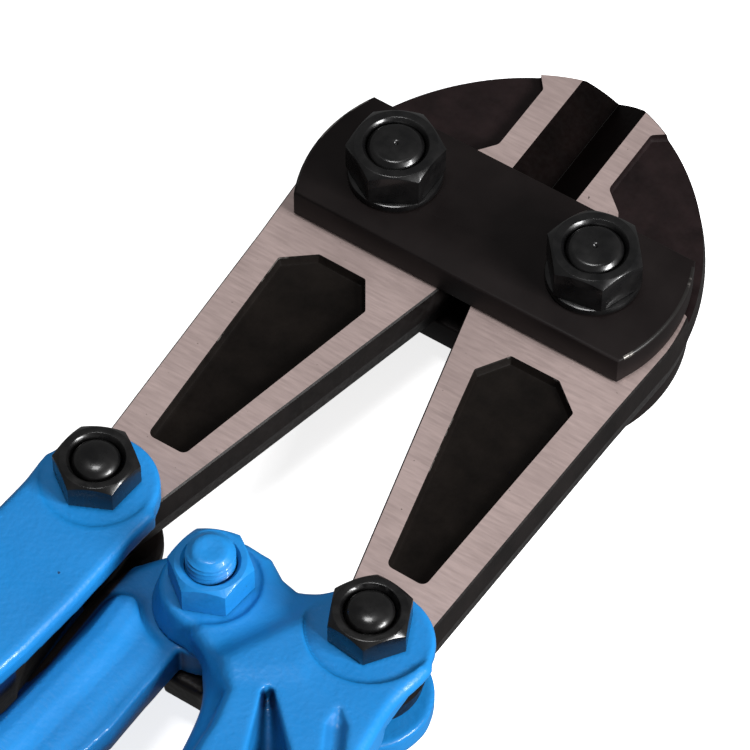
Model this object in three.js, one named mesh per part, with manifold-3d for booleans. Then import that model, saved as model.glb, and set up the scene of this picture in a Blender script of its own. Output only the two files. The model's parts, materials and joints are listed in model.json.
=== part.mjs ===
// Bolt cutters, 600 mm class: two forged jaws between link plates, two cast handle heads, tube handles.
// Millimetres. +Y points to the cutting tips, +X to the right jaw, +Z up; the tool lies flat on z = 0.
// Inside the tool group the origin is midway between the two head bolts, at half the jaws' thickness.

import * as THREE from 'three';
import { mergeVertices } from 'three/addons/utils/BufferGeometryUtils.js';
import Module from 'manifold-3d';

const wasm = await Module();
wasm.setup();

// ---------------------------------------------------------------- driving dimensions

const overallLength = 600;
const gap = 0.3;                        // clearance kept between touching pieces

const headBoltX = 24;                   // half the head bolt spacing
const tailBolt = { x: 32.2, y: -95.6 };
const centreBoltY = -102.9;

const jawHalf = 5.25;                   // half the jaws' thickness
const jawTipY = 50.6;
const jawInset = 1.2;                   // side draft from the parting line to each ground face
const cutWidth = 8;                     // width of one cutting bevel
const stepDepth = 1.8;                  // relief outboard of the cutting strip
const pocketDepth = 1.9;
const pocketSlope = 1;                  // how far a pocket's floor stands in from its mouth
const tailEnd = { x: 31.3, radius: 9 }; // rounded end of a jaw, at the tail bolt's height

const plateThickness = 7.5;
const plateHalfWidth = 15.2;
const plateEndRadius = 33.9;
const plateEndCentre = 8.9;

const headBoltRadius = 6;               // M12
const headNutFlats = 18;
const headNutHeight = 8.2;
const headWasherRadius = 10;
const headWasherHeight = 1.8;
const headBoltHeadHeight = 5.5;

const tailBoltRadius = 5;               // M10
const tailNutFlats = 15.4;
const tailNutHeight = 6.4;
const centreNutFlats = 15;
const centreNutHeight = 7.4;
const smallHeadFlats = 16;
const smallHeadHeight = 5;

const earTop = 13.25;                   // half height of a casting across its fork
const earRadius = 12.3;
const rightEar = { x: 34, y: -97.5 };   // centres of the rounded ears
const leftEar = { x: -31.4, y: -96.5 };
const bossTop = 11.75;                  // half height across the centre bosses
const bossRadius = 12.2;                // at the root; the boss tapers to its spot face
const bossFaceRadius = 10.2;
const tongueHalf = 4;                   // half thickness of the left casting's tongue
const eyeRadius = 12.4;
const openPivotClearance = 2;           // radial room round the centre bolt in the tongue
const barHalf = 6.5;

const lean = THREE.MathUtils.degToRad(5.2);   // each handle's outward lean when closed
const handleStart = { x: 33, y: -112 };       // a point on each handle's axis
const socketFrom = 40;                  // stations along the handle's axis
const socketTo = 100;
const socketRadius = 17;
const tubeFrom = 62;
const tubeRadius = 14;
const tubeWall = 2.5;
const gripLength = 142;
const gripRadius = 16.6;
const gripFlange = 19;
const gripEndRadius = 16;
const gripEndWall = 5;
const pinRadius = 2.5;
const pinHalf = 16.6;
const pinStation = 82;

const handSides = [{ name: 'left', side: -1 }, { name: 'right', side: 1 }];
const nutCorner = { headLeft: 30, headRight: 10, tailLeft: 25, tailRight: 54, centre: 23 };  // degrees from +X

const roundSides = 32;
const smallSides = 24;
const beyond = 30;                      // reaches past every face; used where a tool cuts right through

// Distance along a handle's axis at which its rubber end reaches the overall length.
const handleEnd = (overallLength - jawTipY + handleStart.y - gripEndRadius * Math.sin(lean)) / Math.cos(lean);

// ---------------------------------------------------------------- solids

function solid(geometry) {
  const bare = geometry.index ? geometry.clone() : mergeVertices(geometry.clone());
  bare.deleteAttribute('normal');
  bare.deleteAttribute('uv');
  const merged = mergeVertices(bare, 1e-4);
  const vertProperties = Float32Array.from(merged.attributes.position.array);
  const triVerts = [];
  for (let i = 0; i < merged.index.count; i += 3) {
    const [a, b, c] = [0, 1, 2].map((k) => merged.index.getX(i + k));
    if (a !== b && b !== c && c !== a) triVerts.push(a, b, c);
  }
  return new wasm.Manifold(new wasm.Mesh({
    numProp: 3, vertProperties, triVerts: Uint32Array.from(triVerts),
  }));
}

function outline(points) {
  return new THREE.Shape(points.map(([x, y]) => new THREE.Vector2(x, y)));
}

// A flat slab of the given outline between two heights.
function slab(shape, low, high, curveSegments = 12) {
  const geometry = new THREE.ExtrudeGeometry(shape, { depth: high - low, bevelEnabled: false, curveSegments });
  return solid(geometry.translate(0, 0, low));
}

// The same slab with a chamfer along both of its face edges.
function chamferedSlab(shape, low, high, chamfer, curveSegments = 12) {
  const geometry = new THREE.ExtrudeGeometry(shape, {
    depth: high - low - 2 * chamfer, bevelEnabled: true, bevelThickness: chamfer,
    bevelSize: chamfer, bevelOffset: -chamfer, bevelSegments: 1, curveSegments,
  });
  return solid(geometry.translate(0, 0, low + chamfer));
}

// A round bar along Z.
function rod(radius, low, high, x = 0, y = 0, sides = roundSides) {
  const geometry = new THREE.CylinderGeometry(radius, radius, high - low, sides);
  return solid(geometry.rotateX(Math.PI / 2).translate(x, y, (high + low) / 2));
}

// A hole's tool right through the object along Z.
function drill(radius, x, y) {
  return rod(radius, -beyond, beyond, x, y, smallSides);
}

// A body turned round an axis along Z, from [radius, height] pairs with the lowest first.
function turned(profile, sides = roundSides, x = 0, y = 0) {
  const points = profile.map(([r, z]) => new THREE.Vector2(r, z));
  return solid(new THREE.LatheGeometry(points, sides).rotateX(Math.PI / 2).translate(x, y, 0));
}

// A hexagonal bar along Z with one corner at the given angle in degrees.
function hexagon(flats, low, high, turn = 0) {
  const geometry = new THREE.CylinderGeometry(flats / Math.sqrt(3), flats / Math.sqrt(3), high - low, 6);
  geometry.rotateX(Math.PI / 2).rotateZ(THREE.MathUtils.degToRad(turn - 30));
  return solid(geometry.translate(0, 0, (high + low) / 2));
}

// A body turned round a handle's axis, from [radius, station] pairs in the handle's own frame.
function handleTurning(profile, sides) {
  const points = profile.map(([r, station]) => new THREE.Vector2(r, -station));
  return new THREE.LatheGeometry(points.reverse(), sides);
}

// The same body in the tool's frame.
function onHandle(side, profile) {
  const geometry = handleTurning(profile, roundSides).rotateZ(side * lean);
  return solid(geometry.translate(side * handleStart.x, handleStart.y, 0));
}

// An outline drawn for the right side, put on the given side.
function mirrored(side, points) {
  return outline(points.map(([x, y]) => [side * x, y]));
}

function union(first, ...others) {
  return others.reduce((sum, next) => sum.add(next), first);
}

function cut(body, ...tools) {
  return tools.reduce((rest, tool) => rest.subtract(tool), body);
}

// ---------------------------------------------------------------- materials and meshes

const finish = {
  groundSteel: { color: 0xa09490, roughness: 0.45, metalness: 0.8 },
  blackSteel: { color: 0x1b1918, roughness: 0.5, metalness: 0.5 },
  blackBolt: { color: 0x141414, roughness: 0.3, metalness: 0.6 },
  bluePaint: { color: 0x2a8de0, roughness: 0.3, metalness: 0.0 },
  blackRubber: { color: 0x151515, roughness: 0.8, metalness: 0.0 },
  zincSteel: { color: 0x9a9a96, roughness: 0.4, metalness: 0.9 },
};

function piece(name, body, look) {
  const result = body.getMesh();
  const geometry = new THREE.BufferGeometry();
  geometry.setAttribute('position', new THREE.BufferAttribute(Float32Array.from(result.vertProperties), 3));
  geometry.setIndex(new THREE.BufferAttribute(Uint32Array.from(result.triVerts), 1));
  geometry.computeVertexNormals();
  const mesh = new THREE.Mesh(geometry, new THREE.MeshStandardMaterial(look));
  mesh.name = name;
  return mesh;
}

// ---------------------------------------------------------------- jaws

// Outline at the parting line, half the jaws' thickness up.
function jawOutline(side) {
  const shape = new THREE.Shape();
  const x = (value) => side * value;
  const startAngle = side > 0 ? 0 : Math.PI;
  const endAngle = side > 0 ? -Math.PI : 2 * Math.PI;
  shape.moveTo(x(0.15), jawTipY);
  shape.bezierCurveTo(x(18), jawTipY + 0.4, x(44.6), 27, x(44.8), -3);
  shape.lineTo(x(43.6), -22);
  shape.lineTo(x(tailEnd.x + tailEnd.radius), tailBolt.y);
  shape.absarc(x(tailEnd.x), tailBolt.y, tailEnd.radius, startAngle, endAngle, side > 0);
  shape.lineTo(x(0.9), -6.6);
  shape.lineTo(x(0.5), 0);
  shape.lineTo(x(0.15), 14);
  return shape;
}

// The relief outboard of the cutting strip on a jaw's upper face.
function relief(side) {
  const shape = mirrored(side, [
    [12.8, 43.2], [16.4, 47.2], [17, 60], [60, 60], [60, 6], [44, 7], [30, 13], [20, 17], [16.6, 22.4], [12.8, 26.5],
  ]);
  const geometry = new THREE.ExtrudeGeometry(shape, { depth: beyond, bevelEnabled: false });
  return geometry.translate(0, 0, jawHalf - stepDepth);
}

// A recess with sloping walls in a jaw's upper face.
function pocket(side) {
  const shape = mirrored(side, [
    [17.7, -20.9], [29.2, -20.8], [35.8, -26.1], [33.2, -76.3], [32.1, -77.5], [25.3, -77.4], [24, -76.3],
    [13.2, -27.8],
  ]);
  const geometry = new THREE.ExtrudeGeometry(shape, {
    depth: 1, bevelEnabled: true, bevelThickness: pocketDepth, bevelSize: pocketSlope, bevelOffset: -pocketSlope,
    bevelSegments: 1,
  });
  return geometry.translate(0, 0, jawHalf);
}

// The air over one cutting bevel, as a prism along Y; the bevels leave a narrow flat at the parting line.
function bevelWedge(side) {
  const slope = jawHalf / cutWidth;
  const edge = { x: 0.15, z: 0.1 };
  const at = (x) => edge.z + (x - edge.x) * slope;
  const shape = mirrored(side, [[-1, at(-1)], [cutWidth + 2, at(cutWidth + 2)], [-1, at(cutWidth + 2)]]);
  const geometry = new THREE.ExtrudeGeometry(shape, { depth: 60, bevelEnabled: false });
  return geometry.rotateX(Math.PI / 2).translate(0, 70, 0);
}

function jaw(side) {
  const partingFlat = 0.1;
  const geometry = new THREE.ExtrudeGeometry(jawOutline(side), {
    depth: partingFlat, bevelEnabled: true, bevelThickness: jawHalf - partingFlat / 2, bevelSize: jawInset,
    bevelOffset: -jawInset, bevelSegments: 1, curveSegments: 20,
  });
  const upper = [relief, pocket, bevelWedge].map((feature) => solid(feature(side)));
  const lower = [relief, pocket, bevelWedge].map((feature) => solid(feature(-side).rotateY(Math.PI)));
  return cut(solid(geometry.translate(0, 0, -partingFlat / 2)), ...upper, ...lower,
    drill(headBoltRadius + gap, side * headBoltX, 0),
    drill(tailBoltRadius + gap, side * tailBolt.x, tailBolt.y));
}

// ---------------------------------------------------------------- link plates

function linkPlate(low) {
  const shape = new THREE.Shape();
  const sweep = Math.asin(plateHalfWidth / plateEndRadius);
  shape.absarc(plateEndCentre, 0, plateEndRadius, -sweep, sweep, false);
  shape.absarc(-plateEndCentre, 0, plateEndRadius, Math.PI - sweep, Math.PI + sweep, false);
  return cut(chamferedSlab(shape, low, low + plateThickness, 0.5, 10),
    drill(headBoltRadius + gap, headBoltX, 0),
    drill(headBoltRadius + gap, -headBoltX, 0));
}

// ---------------------------------------------------------------- fasteners, each round its own axis

// A hexagon whose upper corners are turned off by a cone.
function hexWithCone(flats, low, high, turn) {
  const corner = flats / Math.sqrt(3);
  const cone = turned([[0, low - 1], [corner + 1, low - 1], [corner + 1, high - 1.4], [flats / 2 - 0.4, high],
    [0, high]]);
  return hexagon(flats, low, high, turn).intersect(cone);
}

function nut(flats, height, boltRadius, turn) {
  const mouth = boltRadius + 0.9;
  const bore = turned([[0, -1], [boltRadius + gap, -1], [boltRadius + gap, height - 0.8], [mouth, height],
    [mouth, height + 1], [0, height + 1]]);
  return hexWithCone(flats, 0, height, turn).subtract(bore);
}

// Shank from the underside of its head at z = 0 up to a domed end, with the head below.
function bolt(radius, length, dome, headFlats, headHeight, turn) {
  const shank = turned([[0, -1], [radius, -1], [radius, length - dome], [0.8 * radius, length - 0.35 * dome],
    [0.4 * radius, length], [0, length]], smallSides);
  const head = hexagon(headFlats, -headHeight, 0, turn);
  const trim = turned([[0, -headHeight], [headFlats / 2 - 0.4, -headHeight],
    [headFlats / Math.sqrt(3) + 0.6, -headHeight + 1.4], [headFlats / Math.sqrt(3) + 0.6, 1], [0, 1]]);
  return head.intersect(trim).add(shank);
}

// ---------------------------------------------------------------- handle castings

function socketBody(side) {
  return onHandle(side, [
    [0, socketFrom - 24], [8, socketFrom - 24], [13.2, socketFrom], [socketRadius, socketFrom + 16],
    [socketRadius, socketTo - 1], [socketRadius - 1, socketTo], [0, socketTo],
  ]);
}

// The fork's slot for the jaw's tail.
function jawSlot(side) {
  const shape = mirrored(side, [[10, -70], [70, -70], [70, -107], [25, -107], [19.6, -101], [10, -96]]);
  return slab(shape, -jawHalf - gap, jawHalf + gap);
}

// Holes that both castings share: for the tail bolt, the handle's tube and the pin through it.
function handleHoles(side) {
  const bore = tubeRadius + gap;
  const floor = tubeFrom - gap;
  return [
    drill(tailBoltRadius + gap, side * tailBolt.x, tailBolt.y),
    onHandle(side, [[0, floor], [bore, floor], [bore, socketTo + 1], [0, socketTo + 1]]),
    drill(pinRadius + gap, side * (handleStart.x + pinStation * Math.sin(lean)),
      handleStart.y - pinStation * Math.cos(lean)),
  ];
}

// The right casting: a fork round the jaw tail, and a pair of bosses that hold the centre bolt.
function rightCasting() {
  const body = mirrored(1, [
    [46.3, -97.5], [46.1, -111], [49.5, -145], [54.6, -168], [22.2, -168], [18.6, -145], [16.4, -128],
    [11.5, -119], [21.7, -97.5],
  ]);
  const web = mirrored(1, [[3, -92], [9, -94.6], [14, -96], [18, -95.4], [24, -92], [26, -112], [13, -121], [4, -115]]);
  const roomHalf = tongueHalf + gap;
  const boss = [[0, -bossTop], [bossFaceRadius, -bossTop], [bossRadius, -roomHalf], [bossRadius, roomHalf],
    [bossFaceRadius, bossTop], [0, bossTop]];
  const whole = union(
    rod(earRadius, -earTop, earTop, rightEar.x, rightEar.y),
    slab(body, -earTop, earTop),
    slab(web, -bossTop, bossTop),
    turned(boss, roundSides, 0, centreBoltY),
    socketBody(1),
  );
  const room = outline([[-20, -90], [6, -90], [20, -92], [20, -104], [6, -118], [-20, -118]]);
  return cut(whole,
    slab(room, -roomHalf, roomHalf),
    rod(eyeRadius + openPivotClearance + gap, -roomHalf, roomHalf, 0, centreBoltY),
    drill(tailBoltRadius + gap, 0, centreBoltY),
    jawSlot(1),
    ...handleHoles(1));
}

// The left casting: a fork round the jaw tail, and a bar that ends in the tongue between the bosses.
function leftCasting() {
  const ear = mirrored(-1, [
    [43.7, -96.5], [44.8, -111], [49.4, -145], [54.6, -168], [24, -168], [22.6, -145], [20.2, -115], [19.1, -96.5],
  ]);
  const bar = new THREE.Shape();
  bar.moveTo(-18.6, -136);
  bar.lineTo(-18.6, -119);
  bar.absarc(-12.6, -117.4, 6, Math.PI, Math.PI / 2, true);
  bar.bezierCurveTo(-7, -111.4, -2.6, -117, -1.8, -123);
  bar.lineTo(-1.8, -138);
  bar.bezierCurveTo(-2, -154, -14, -168, -20, -178);
  bar.lineTo(-34, -168);
  const tongue = outline([[-9, -94.2], [-13.4, -99.2], [-17.4, -104.5], [-19.6, -110], [-20, -116], [-24, -120],
    [-24, -140], [-1.8, -138], [-1.8, -126], [-0.6, -114.6], [6, -110]]);
  const bossRoom = rod(bossRadius + openPivotClearance + gap, -barHalf - 1, barHalf + 1, 0, centreBoltY);
  const ears = union(rod(earRadius, -earTop, earTop, leftEar.x, leftEar.y), slab(ear, -earTop, earTop));
  const whole = union(
    cut(ears, jawSlot(-1)),
    cut(slab(bar, -barHalf, barHalf), bossRoom),
    slab(tongue, -tongueHalf, tongueHalf),
    rod(eyeRadius, -tongueHalf, tongueHalf, 0, centreBoltY),
    socketBody(-1),
  );
  return cut(whole, drill(tailBoltRadius + openPivotClearance, 0, centreBoltY), ...handleHoles(-1));
}

// ---------------------------------------------------------------- tube, pin and grip, in a handle's own frame

function handleTube() {
  const inner = tubeRadius - tubeWall;
  const end = handleEnd - gripEndWall - gap;
  const tube = handleTurning([[inner, tubeFrom], [tubeRadius, tubeFrom], [tubeRadius, end], [inner, end],
    [inner, tubeFrom]], smallSides);
  return cut(solid(tube), drill(pinRadius + gap, 0, -pinStation));
}

function tubePin() {
  return rod(pinRadius, -pinHalf, pinHalf, 0, -pinStation, smallSides);
}

// A rubber sleeve with a flange at each end, closed behind the end of the tube.
function grip() {
  const start = handleEnd - gripLength;
  const floor = handleEnd - gripEndWall;
  const bore = tubeRadius + gap;
  return solid(handleTurning([
    [bore, start], [gripFlange - 2, start], [gripFlange, start + 2], [gripFlange, start + 6],
    [gripRadius, start + 11], [gripRadius, handleEnd - 16], [gripFlange, handleEnd - 9], [gripFlange, handleEnd - 3],
    [gripEndRadius, handleEnd], [0, handleEnd], [0, floor], [bore, floor], [bore, start],
  ], smallSides));
}

// ---------------------------------------------------------------- assembly

const boltCutters = new THREE.Group();
const tool = new THREE.Group();
tool.position.set(0, overallLength / 2 - jawTipY, gripFlange);
boltCutters.add(tool);

function place(name, body, look, x = 0, y = 0, z = 0) {
  const mesh = piece(name, body, look);
  mesh.position.set(x, y, z);
  tool.add(mesh);
}

const plateLow = jawHalf + gap;
const plateHigh = plateLow + plateThickness;
place('upper_link_plate', linkPlate(plateLow), finish.blackSteel);
place('lower_link_plate', linkPlate(-plateHigh), finish.blackSteel);

for (const { name, side } of handSides) {
  place(`${name}_jaw`, jaw(side), finish.groundSteel);

  // head bolt, washer and nut
  const headX = side * headBoltX;
  const headCorner = side > 0 ? nutCorner.headRight : nutCorner.headLeft;
  const washerLow = plateHigh + gap;
  const headNutLow = washerLow + headWasherHeight + gap;
  const headBoltLow = -plateHigh - gap;
  const headBoltLength = headNutLow + headNutHeight + 0.2 - headBoltLow;
  place(`${name}_head_bolt`,
    bolt(headBoltRadius, headBoltLength, 1, headNutFlats, headBoltHeadHeight, headCorner),
    finish.blackBolt, headX, 0, headBoltLow);
  place(`${name}_head_washer`,
    cut(rod(headWasherRadius, 0, headWasherHeight), drill(headBoltRadius + gap, 0, 0)),
    finish.blackBolt, headX, 0, washerLow);
  place(`${name}_head_nut`, nut(headNutFlats, headNutHeight, headBoltRadius, headCorner),
    finish.blackBolt, headX, 0, headNutLow);

  // tail bolt and nut
  const tailX = side * tailBolt.x;
  const tailCorner = side > 0 ? nutCorner.tailRight : nutCorner.tailLeft;
  const tailBoltLow = -earTop - gap;
  const tailNutLow = earTop + gap;
  const tailBoltLength = tailNutLow + tailNutHeight + 1 - tailBoltLow;
  place(`${name}_tail_bolt`,
    bolt(tailBoltRadius, tailBoltLength, 2, smallHeadFlats, smallHeadHeight, tailCorner),
    finish.blackBolt, tailX, tailBolt.y, tailBoltLow);
  place(`${name}_tail_nut`, nut(tailNutFlats, tailNutHeight, tailBoltRadius, tailCorner),
    finish.blackBolt, tailX, tailBolt.y, tailNutLow);

  // handle
  const handle = new THREE.Group();
  handle.position.set(side * handleStart.x, handleStart.y, 0);
  handle.rotation.z = side * lean;
  handle.add(
    piece(`${name}_handle_tube`, handleTube(), finish.bluePaint),
    piece(`${name}_grip`, grip(), finish.blackRubber),
    piece(`${name}_tube_pin`, tubePin(), finish.zincSteel),
  );
  tool.add(handle);
}

place('left_handle_casting', leftCasting(), finish.bluePaint);
place('right_handle_casting', rightCasting(), finish.bluePaint);

const centreNutLow = bossTop + gap;
const centreBoltLow = -bossTop - gap;
const centreBoltLength = centreNutLow + centreNutHeight + 4 - centreBoltLow;
place('centre_bolt',
  bolt(tailBoltRadius, centreBoltLength, 2.5, smallHeadFlats, smallHeadHeight, nutCorner.centre),
  finish.bluePaint, 0, centreBoltY, centreBoltLow);
place('centre_nut', nut(centreNutFlats, centreNutHeight, tailBoltRadius, nutCorner.centre),
  finish.bluePaint, 0, centreBoltY, centreNutLow);

export default boltCutters;
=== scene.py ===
import json
import math

import bmesh
import bpy
import numpy as np
from mathutils import Matrix, Vector


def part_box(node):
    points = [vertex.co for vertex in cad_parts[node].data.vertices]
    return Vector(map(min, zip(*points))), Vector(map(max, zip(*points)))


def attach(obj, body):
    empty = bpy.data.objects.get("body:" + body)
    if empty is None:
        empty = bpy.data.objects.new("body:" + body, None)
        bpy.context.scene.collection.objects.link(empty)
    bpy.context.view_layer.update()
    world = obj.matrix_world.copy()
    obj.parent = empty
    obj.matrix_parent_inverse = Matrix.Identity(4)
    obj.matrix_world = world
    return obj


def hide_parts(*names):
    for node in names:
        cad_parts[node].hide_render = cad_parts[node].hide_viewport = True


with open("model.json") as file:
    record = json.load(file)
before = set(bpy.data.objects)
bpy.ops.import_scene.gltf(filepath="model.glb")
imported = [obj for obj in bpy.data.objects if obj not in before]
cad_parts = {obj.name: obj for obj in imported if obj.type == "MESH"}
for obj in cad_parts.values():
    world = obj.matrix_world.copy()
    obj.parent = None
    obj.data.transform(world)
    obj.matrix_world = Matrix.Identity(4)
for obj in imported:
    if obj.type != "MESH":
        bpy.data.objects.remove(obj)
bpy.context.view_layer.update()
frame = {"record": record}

# -------- places and sizes, in millimetres

# Everything is drawn in the tool's own frame: X to the right jaw, Y to the tips, Z up,
# from the point midway between the head bolts at half the jaws' thickness.
MM = 0.001
_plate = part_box("upper_link_plate")
_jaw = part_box("left_jaw")
ORIGIN = Vector((0, (_plate[0].y + _plate[1].y) / 2, (_jaw[0].z + _jaw[1].z) / 2))


def span(node):
    low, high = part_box(node)
    return (low - ORIGIN) / MM, (high - ORIGIN) / MM


def middle(node):
    low, high = span(node)
    return (low + high) / 2


def upright(node):
    """A node's box and its axis in plan."""
    low, high = span(node)
    return low, high, (low.x + high.x) / 2, (low.y + high.y) / 2


JAW_HALF, TIP_Y = span("left_jaw")[1].z, span("left_jaw")[1].y
HEAD_X = middle("right_head_washer").x
TAIL = middle("right_tail_bolt")
CENTRE_Y = middle("centre_bolt").y
NUT_GAP = 0.3
EAR_TOP = span("right_tail_nut")[0].z - NUT_GAP
BOSS_TOP = span("centre_nut")[0].z - NUT_GAP
# A handle's axis starts here and leans outwards. A station is the distance along it.
HANDLE = (33.0, -112.0)
LEAN = math.radians(5.2)
HANDLE_END = 437.8
TUBE_START = 62
TUBE_RADIUS = 14.0
# Bolts and the holes for them.
HEAD_BOLT, HEAD_PITCH, HEAD_BORE = 6.0, 1.75, 6.3
TAIL_BOLT, TAIL_PITCH, TAIL_BORE, CAST_BORE = 5.0, 1.5, 5.3, 5.25
BODY_OF = {node: body for body, nodes in frame["record"]["behaviour"]["bodies"].items() for node in nodes}

# -------- materials


class Surface:
    """A material while it is being built: its nodes, its shader and the object's own coordinates."""

    def __init__(self, name, colour, roughness, metallic=0.0, specular=0.5):
        self.material = bpy.data.materials.new(name)
        self.material.use_nodes = True
        self.material.diffuse_color = (*colour, 1)
        self.tree = self.material.node_tree
        self.shader = self.tree.nodes["Principled BSDF"]
        self.set("Base Color", (*colour, 1))
        self.set("Roughness", roughness)
        self.set("Metallic", metallic)
        self.set("Specular IOR Level", specular)
        self.point = self.placed((1, 1, 1))

    def set(self, socket, value):
        self.shader.inputs[socket].default_value = value

    def coat(self, weight, roughness):
        self.set("Coat Weight", weight)
        self.set("Coat Roughness", roughness)

    def feed(self, socket, value):
        self.tree.links.new(value, self.shader.inputs[socket])

    def placed(self, scale, turn=0.0):
        """The object's coordinates, scaled and then turned about Z."""
        source = self.tree.nodes.new("ShaderNodeTexCoord")
        mapping = self.tree.nodes.new("ShaderNodeMapping")
        mapping.inputs["Scale"].default_value = scale
        mapping.inputs["Rotation"].default_value = (0, 0, turn)
        self.tree.links.new(source.outputs["Object"], mapping.inputs["Vector"])
        return mapping.outputs["Vector"]

    def noise(self, scale, detail=4.0, roughness=0.55, point=None):
        node = self.tree.nodes.new("ShaderNodeTexNoise")
        for key, value in (("Scale", scale), ("Detail", detail), ("Roughness", roughness)):
            node.inputs[key].default_value = value
        self.tree.links.new(self.point if point is None else point, node.inputs["Vector"])
        return node.outputs["Fac"]

    def ramp(self, value, *stops):
        """A ramp between two (position, colour) stops, where a colour is one number or three."""
        node = self.tree.nodes.new("ShaderNodeValToRGB")
        for element, (position, colour) in zip(node.color_ramp.elements, stops):
            element.position = position
            element.color = (*colour, 1) if isinstance(colour, tuple) else (colour, colour, colour, 1)
        self.tree.links.new(value, node.inputs["Fac"])
        return node.outputs["Color"]

    def blend(self, factor, first, second, kind="MIX"):
        node = self.tree.nodes.new("ShaderNodeMix")
        node.data_type = "RGBA"
        node.blend_type = kind
        sockets = [s for s in node.inputs if s.type == ("VALUE" if s.name == "Factor" else "RGBA")]
        for socket, value in zip(sockets, (factor, first, second)):
            if isinstance(value, bpy.types.NodeSocket):
                self.tree.links.new(value, socket)
            else:
                socket.default_value = (*value, 1) if isinstance(value, tuple) else value
        return [s for s in node.outputs if s.type == "RGBA"][0]

    def mask(self, name):
        """A value from 0 to 1 that a casting's vertices carry; 0 on pieces without it."""
        node = self.tree.nodes.new("ShaderNodeAttribute")
        node.attribute_name = name
        return node.outputs["Fac"]

    def brightness(self, colour):
        node = self.tree.nodes.new("ShaderNodeRGBToBW")
        self.tree.links.new(colour, node.inputs["Color"])
        return node.outputs["Val"]

    def tint(self, value, *stops):
        self.feed("Base Color", self.ramp(value, *stops))

    def rough(self, value, *stops):
        self.feed("Roughness", self.brightness(self.ramp(value, *stops)))

    def finished(self, *layers):
        """Adds bump layers of (height, strength, distance in mm) and gives the material."""
        normal = None
        for height, strength, distance in layers:
            node = self.tree.nodes.new("ShaderNodeBump")
            node.inputs["Strength"].default_value = strength
            node.inputs["Distance"].default_value = distance * MM
            self.tree.links.new(height, node.inputs["Height"])
            if normal is not None:
                self.tree.links.new(normal, node.inputs["Normal"])
            normal = node.outputs["Normal"]
        self.feed("Normal", normal)
        return self.material


def ground_steel(name, turn):
    """Ground faces: fine grinding lines across the jaw, faint heat tint and a few dark nicks."""
    steel = Surface(name, (0.3, 0.25, 0.25), 0.42, 0.35)
    lines = steel.noise(1.0, 3.0, point=steel.placed((180, 1700, 180), turn))
    patches = steel.noise(45)
    specks = steel.noise(900, 2.0)
    tint = steel.ramp(patches, (0.3, (0.31, 0.238, 0.225)), (0.7, (0.395, 0.306, 0.29)))
    tint = steel.blend(1.0, tint, steel.ramp(lines, (0.3, 0.9), (0.7, 1.05)), "MULTIPLY")
    nicks = steel.ramp(specks, (0.74, 0.0), (0.79, 1.0))
    steel.feed("Base Color", steel.blend(nicks, tint, (0.05, 0.04, 0.035)))
    steel.rough(lines, (0.2, 0.34), (0.8, 0.56))
    return steel.finished((lines, 0.25, 0.05), (patches, 0.1, 0.2))


def forged(name, colour, roughness, specular, coarse=0.3):
    """Black forged scale: mottled, slightly pitted, a little warm."""
    scale = Surface(name, colour, roughness, 0.0, specular)
    blotch = scale.noise(130, 5.0, 0.6)
    fine = scale.noise(900, 3.0)
    dark, light = (tuple(c * share for c in colour) for share in (0.6, 1.5))
    scale.tint(blotch, (0.3, dark), (0.72, light))
    scale.rough(fine, (0.3, roughness - 0.08), (0.7, roughness + 0.12))
    return scale.finished((blotch, coarse, 0.35), (fine, 0.25, 0.08))


def worn_edge(name, colour, amount):
    """A coated edge where the coating has rubbed through to bright steel in places."""
    edge = Surface(name, colour, 0.35, 0.4, 0.4)
    patches = edge.noise(75, 5.0, 0.65)
    rub = edge.ramp(patches, (0.62 - amount * 0.4, 0.0), (0.72 - amount * 0.4, 1.0))
    edge.feed("Base Color", edge.blend(rub, colour, (0.3, 0.28, 0.26)))
    edge.rough(patches, (0.3, 0.45), (0.7, 0.25))
    edge.feed("Metallic", edge.brightness(rub))
    return edge.finished((patches, 0.2, 0.1))


def satin_black(name):
    """The link plates' coating: nearly matt black, faint brown tone, thin scuffs along the plate."""
    coating = Surface(name, (0.006, 0.0045, 0.0045), 0.5, 0.0, 0.11)
    scuffs = coating.noise(1.0, point=coating.placed((70, 900, 200)))
    clouds = coating.noise(60, 5.0)
    tone = coating.ramp(clouds, (0.3, (0.005, 0.0036, 0.0036)), (0.75, (0.0095, 0.007, 0.0068)))
    rub = coating.ramp(scuffs, (0.7, 0.0), (0.82, 0.35))
    coating.feed("Base Color", coating.blend(rub, tone, (0.02, 0.017, 0.016)))
    coating.rough(clouds, (0.3, 0.42), (0.7, 0.58))
    return coating.finished((clouds, 0.15, 0.15), (scuffs, 0.2, 0.03))


def black_oxide(name):
    """Oiled black oxide on the nuts and bolts."""
    oxide = Surface(name, (0.004, 0.004, 0.0044), 0.26, 0.0, 0.36)
    oxide.coat(0.22, 0.1)
    clouds = oxide.noise(260)
    fine = oxide.noise(1400, 2.0)
    oxide.tint(clouds, (0.3, (0.002, 0.002, 0.0023)), (0.75, (0.006, 0.0057, 0.0057)))
    oxide.rough(clouds, (0.3, 0.19), (0.7, 0.38))
    return oxide.finished((clouds, 0.2, 0.12), (fine, 0.2, 0.03))


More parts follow.
